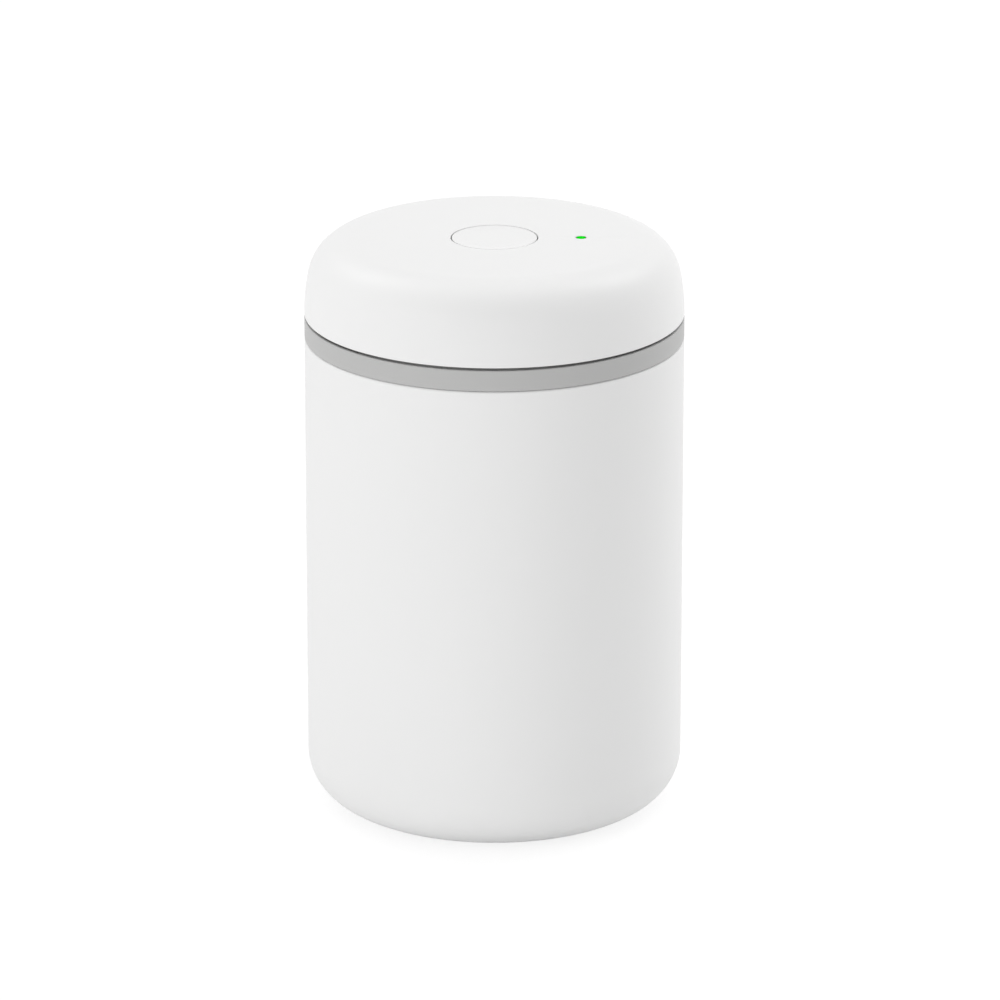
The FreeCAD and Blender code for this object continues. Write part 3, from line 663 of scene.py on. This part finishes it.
# Cap: leaning skirt, wide shoulder and flat top, with a guide for the button, an eye for the pin
# and screw posts
cap = {
    "wall": 2.5 * mm, "shoulder": 14.0 * mm, "lean": 12.0, "lip": 0.3 * mm,
    "holeRound": 0.2 * mm, "holeGap": 0.4 * mm, "guideDepth": 8.0 * mm, "guideWall": 2.0 * mm,
    "guideRound": 0.5 * mm, "eyeRadius": 1.78 * mm, "eyeRound": 0.05 * mm, "eyeSteps": 6,
    "postRadius": 3.5 * mm, "postCircle": 40.0 * mm, "postCount": 4, "postTurn": 45.0,
    "postHole": 1.5 * mm, "screwBite": 7.5 * mm, "segments": 288, "smallSegments": 48,
    "arcSteps": 18,
}


def capShoulder(spec, radius, bottom, top, inset):
    # the skirt's lower corner and the shoulder's corner, moved in by a wall: the skirt rises
    # straight, then leans in
    lean = math.radians(spec["lean"])
    opening = (math.pi / 2 - lean) / 2
    straight = top - bottom - spec["lip"] - spec["shoulder"] * math.tan(opening) * math.cos(lean)
    setback = straight / (1 + math.cos(lean))
    skirtZ = bottom + spec["lip"] + setback
    bend = setback / math.tan(lean / 2)
    cornerX = radius - (top - skirtZ) * math.tan(lean)
    skirt = (radius - inset, skirtZ - inset * math.tan(lean / 2), bend - inset)
    shoulder = (cornerX - inset * math.tan(opening), top - inset, spec["shoulder"] - inset)
    return skirt, shoulder


def eyeMesh(spec, x, bottom, top):
    # turned plug that widens in a quarter round at the top face, which leaves the eye a soft edge
    turn = np.linspace(0.0, math.pi / 2, spec["eyeSteps"])
    radius, soft = spec["eyeRadius"], spec["eyeRound"]
    flare = np.stack((radius + soft * (1 - np.cos(turn)), top - soft * (1 - np.sin(turn))), -1)
    above = top + spec["wall"]
    foot = ((0.0, bottom), (radius, bottom))
    head = ((radius + soft, above), (0.0, above))
    outline = np.concatenate((foot, flare, head))
    vertices, groups = latheFaces(outline, spec["smallSegments"])[:2]
    return meshFrom("eye", vertices + np.array((x, 0.0, 0.0)), groups)


def postsMesh(spec, bottom, top):
    # round posts with a blind hole
    hole, radius = spec["postHole"], spec["postRadius"]
    holeTop = bottom + spec["screwBite"]
    outline = np.array(((hole, bottom), (radius, bottom), (radius, top), (0.0, top),
                        (0.0, holeTop), (hole, holeTop)))
    return copiesAround("posts", outline, spec["smallSegments"], spec["postCircle"],
                        spec["postCount"], spec["postTurn"])


def makeCap(spec):
    bottom, top = heights("cap_shell")
    radius = reach("cap_shell")
    hole = reach("button_cap") + spec["holeGap"]
    under = top - spec["wall"]
    guide = hole + spec["guideWall"]
    guideFoot = under - spec["guideDepth"]
    skirt, shoulder = capShoulder(spec, radius, bottom, top, 0.0)
    skirtInside, shoulderInside = capShoulder(spec, radius, bottom, top, spec["wall"])
    corners = [
        (hole, guideFoot),
        (hole, top, spec["holeRound"]),
        shoulder,
        skirt,
        (radius, bottom, spec["lip"]),
        (radius - spec["wall"], bottom),
        skirtInside,
        shoulderInside,
        (guide, under, spec["guideRound"]),
        (guide, guideFoot),
    ]
    piece = turnedPiece("capShell", corners, spec, "cap_shell", "cap")
    postFoot = heights("pump_body_screws")[1] - spec["screwBite"]
    combine(piece, postsMesh(spec, postFoot, under + spec["wall"] / 2), "UNION")
    low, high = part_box("indicator_pin")
    eye = eyeMesh(spec, (low.x + high.x) / 2, under - spec["wall"], top)
    combine(piece, eye, "DIFFERENCE")


makeCap(cap)
print("cap made")

# Button: a flat middle inside a rim that rises a little, a skirt and a socket for the stem
button = {
    "thickness": 2.5 * mm, "skirt": 1.6 * mm, "dish": 0.43 * mm, "dishShare": 0.775,
    "edge": 0.3 * mm, "stem": 2.0 * mm, "socketWall": 2.0 * mm, "socketDepth": 6.0 * mm,
    "skirtHeight": 7.0 * mm, "inside": 0.4 * mm, "segments": 192, "arcSteps": 24,
}


def makeButton(spec):
    top = heights("cap_shell")[1]
    radius = reach("button_cap")
    under = top - spec["thickness"]
    socket = spec["stem"] + spec["socketWall"]
    socketFoot = under - spec["socketDepth"]
    skirtFoot = top - spec["skirtHeight"]
    skirtInside = radius - spec["skirt"]
    dishX, dishZ = radius * spec["dishShare"], top - spec["dish"]
    dishRun = radius - dishX
    dishTurn = math.atan2(spec["dish"], dishRun)
    dishRound = (dishRun - 2 * spec["edge"]) / math.tan(dishTurn / 2)   # ends short of the edge
    corners = [
        (spec["stem"], socketFoot),
        (socket, socketFoot),
        (socket, under, spec["inside"]),
        (skirtInside, under, spec["inside"]),
        (skirtInside, skirtFoot),
        (radius, skirtFoot),
        (radius, top, spec["edge"]),
        (dishX, dishZ, dishRound),
        (0.0, dishZ),
        (0.0, under),
        (spec["stem"], under),
    ]
    piece = turnedPiece("buttonCap", corners, spec, "button_cap", "button")
    piece.data.materials[0] = buttonPlastic


makeButton(button)
print("button made")

# Indicator pin: green face in a fine rim painted dark as the gap's shade, a stop flange under the cap and a spigot
pin = {
    "head": 1.68 * mm, "face": 1.48 * mm, "headEdge": 0.04 * mm, "flangeDrop": 2.55 * mm,
    "flangeHeight": 1.5 * mm, "spigot": 0.8 * mm, "spigotTip": 0.3 * mm, "segments": 72,
    "arcSteps": 6,
}


def makePin(spec):
    low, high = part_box("indicator_pin")
    flange = (high.x - low.x) / 2
    flangeTop = high.z - spec["flangeDrop"]
    flangeFoot = flangeTop - spec["flangeHeight"]
    corners = [
        (0.0, high.z),
        (0.0, low.z),
        (spec["spigot"], low.z, spec["spigotTip"]),
        (spec["spigot"], flangeFoot),
        (flange, flangeFoot),
        (flange, flangeTop),
        (spec["head"], flangeTop),
        (spec["head"], high.z, spec["headEdge"]),
        (spec["face"], high.z),
    ]
    outline, owner = roundedOutline(corners, spec["arcSteps"])
    vertices, groups, rows = latheFaces(outline, spec["segments"])
    middle = np.array(((low.x + high.x) / 2, 0.0, 0.0))
    # every face but the green face gets the near-black finish, painted shade of the gap round the pin
    rim = owner[rows] < len(corners) - 1   # all but the face, which the last corner starts
    mesh = meshFrom("indicatorPin", vertices + middle, groups, rim)
    piece = dress("indicatorPin", mesh, "indicator_pin", "indicator")
    piece.data.materials.append(paintedShadeRim)


makePin(pin)
print("indicator pin made")

# Springs: round wire of a given radius with a closed turn at each end
springs = [
    {
        "piece": "buttonSpring", "node": "button_spring", "joint": "button_press",
        "wire": 0.4 * mm, "turns": 6,
    },
    {
        "piece": "indicatorSpring", "node": "indicator_spring", "joint": "indicator_drop",
        "wire": 0.25 * mm, "turns": 6,
    },
]
wireDetail = {"stepsPerTurn": 48, "sides": 12, "closedTurns": 1.0}


def makeSpring(spec, detail):
    # helix of fixed radius: the height climbs the wire's thickness in each closed turn, and
    # evenly between the two
    low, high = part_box(spec["node"])
    x = (low.x + high.x) / 2
    wire, turns, closed = spec["wire"], spec["turns"], detail["closedTurns"]
    radius = (high.x - low.x) / 2 - wire
    climb = wire * (1 + 2 * closed)
    turn = np.linspace(0.0, turns, turns * detail["stepsPerTurn"] + 1)
    knots = (0.0, closed, turns - closed, turns)
    stops = (low.z + wire, low.z + climb, high.z - climb, high.z - wire)
    height = np.interp(turn, knots, stops)
    angle = 2 * math.pi * turn
    outward = np.stack((np.cos(angle), np.sin(angle), np.zeros_like(angle)), -1)
    axis = np.stack((np.full_like(turn, x), np.zeros_like(turn), height), -1)
    path = radius * outward + axis
    along = unit(np.gradient(path, axis=0))
    upward = np.cross(along, outward)
    vertices, groups = tubeFaces(path, outward, upward, wire, detail["sides"])
    mesh = meshFrom(spec["piece"], vertices, groups)
    spring = dress(spec["piece"], mesh, spec["node"], "cap")
    joint = next(joint for joint in frame["joints"] if joint["name"] == spec["joint"])
    travel = joint["range_m"][1]
    left = 1 - travel / (high.z - low.z)
    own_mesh(spring)


for spring in springs:
    makeSpring(spring, wireDetail)
print("springs made")

# Floor and light: a pale floor that keeps a light shadow, an even white surround and five soft
# lamps. The two low lamps leave no glint, so that the cap's shoulder doesn't burn out where it is
# seen from behind
floor = {"half": 4.0, "colour": (0.92, 0.92, 0.92), "seenShare": 0.25, "seenGlow": 0.82}
surround = {"colour": (1.0, 1.0, 1.0), "light": 0.607, "seen": 1.0}
lamps = {
    "keyLamp": {"place": (-1.246, -1.434, 0.54), "size": 1.1, "power": 10.83, "glint": False},
    "topLamp": {"place": (0.0, 0.3, 1.8), "size": 1.6, "power": 4.7, "glint": True},
    "leftLamp": {"place": (-1.0, 0.7, 1.4), "size": 0.8, "power": 4.08, "glint": True},
    "rightLamp": {"place": (1.0, 0.7, 1.4), "size": 0.8, "power": 5.41, "glint": True},
    "edgeLamp": {"place": (1.722, 0.803, 0.5), "size": 1.0, "power": 7.07, "glint": False},
}
aim = (0.0, 0.0, 0.1)


def makeFloor(spec):
    # one square; what the camera sees of it is dimmer paint plus a glow, so the open floor is
    # white and a shadow pale
    half = spec["half"]
    material = bpy.data.materials.new("floorPaper")
    material.use_nodes = True
    web = Web(material.node_tree)
    paint, dimmed = rgb(spec["colour"]), rgb(spec["colour"], spec["seenShare"])
    plain = web.node("ShaderNodeBsdfDiffuse", sockets={"Color": paint}).outputs[0]
    dim = web.node("ShaderNodeBsdfDiffuse", sockets={"Color": dimmed}).outputs[0]
    glow = web.node("ShaderNodeEmission", sockets={"Strength": spec["seenGlow"]}).outputs[0]
    seen = web.node("ShaderNodeAddShader", sockets={0: dim, 1: glow}).outputs[0]
    sockets = {0: web.seenDirectly(), 1: plain, 2: seen}
    mix = web.node("ShaderNodeMixShader", sockets=sockets).outputs[0]
    web.node("ShaderNodeOutputMaterial", sockets={"Surface": mix})
    mesh = bpy.data.meshes.new("floorPaper")
    corners = [(-half, -half, 0.0), (half, -half, 0.0), (half, half, 0.0), (-half, half, 0.0)]
    mesh.from_pydata(corners, [], [(0, 1, 2, 3)])
    mesh.materials.append(material)
    paper = bpy.data.objects.new("floorPaper", mesh)
    bpy.context.scene.collection.objects.link(paper)


def makeSurround(spec):
    world = bpy.data.worlds.new("surround")
    world.use_nodes = True
    web = Web(world.node_tree)
    strength = spec["light"] + web.seenDirectly() * (spec["seen"] - spec["light"])
    sockets = {"Color": rgb(spec["colour"]), "Strength": strength}
    sky = web.node("ShaderNodeBackground", sockets=sockets).outputs[0]
    web.node("ShaderNodeOutputWorld", sockets={"Surface": sky})
    bpy.context.scene.world = world


def makeLamp(name, spec):
    data = bpy.data.lights.new(name, "AREA")
    data.size, data.energy = spec["size"], spec["power"]
    lamp = bpy.data.objects.new(name, data)
    lamp.location = spec["place"]
    lamp.rotation_euler = (Vector(aim) - lamp.location).to_track_quat("-Z", "Y").to_euler()
    lamp.visible_camera = False
    lamp.visible_glossy = spec["glint"]
    bpy.context.scene.collection.objects.link(lamp)


makeFloor(floor)
makeSurround(surround)
for name, spec in lamps.items():
    makeLamp(name, spec)
print("floor and light made")

# Camera at the photo's angle: a long lens that looks down a little
view = {
    "turn": 0.77, "elevation": 18.62, "distance": 2.1637, "aimHeight": 0.10077,
    "lens": 240.41, "sensor": 36.0, "shiftX": 0.0056,
}


def makeCamera(spec):
    data = bpy.data.cameras.new("photoView")
    data.lens, data.sensor_width, data.shift_x = spec["lens"], spec["sensor"], spec["shiftX"]
    camera = bpy.data.objects.new("photoView", data)
    turn, tilt = math.radians(spec["turn"]), math.radians(spec["elevation"])
    level = spec["distance"] * math.cos(tilt)
    height = spec["aimHeight"] + spec["distance"] * math.sin(tilt)
    camera.location = (level * math.sin(turn), -level * math.cos(turn), height)
    camera.rotation_euler = (math.pi / 2 - tilt, 0.0, turn)
    bpy.context.scene.collection.objects.link(camera)
    bpy.context.scene.camera = camera


makeCamera(view)
bpy.context.scene.view_settings.view_transform = "Standard"

print("scene done")
